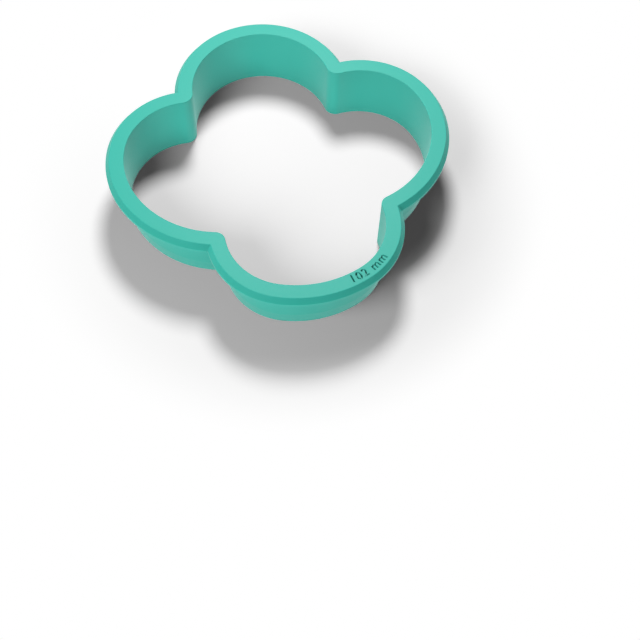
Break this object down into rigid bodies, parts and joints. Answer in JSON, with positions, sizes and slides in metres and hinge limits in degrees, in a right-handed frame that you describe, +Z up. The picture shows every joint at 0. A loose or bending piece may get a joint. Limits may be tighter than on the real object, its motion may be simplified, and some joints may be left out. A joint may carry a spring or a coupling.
{
  "type": "cookie cutter",
  "caption": "Four-lobed open plastic cookie cutter with a thin upright wall, a wide chamfered grip rim on top and a tapered cutting edge below.",
  "frame": {"origin": "middle of the outline's bounding box, on the plane of the cutting edge", "axes": "+Z up through the opening from the cutting edge to the grip rim, +Y towards the single round lobe, +X towards the right wing"},
  "size_m": [0.1128, 0.1136, 0.0212],
  "materials": {
    "teal_plastic": "satin"
  },
  "bodies": {
    "root": {"cutting_edge": "teal_plastic", "cutter_wall": "teal_plastic", "grip_rim": "teal_plastic"}
  },
  "joints": []
}
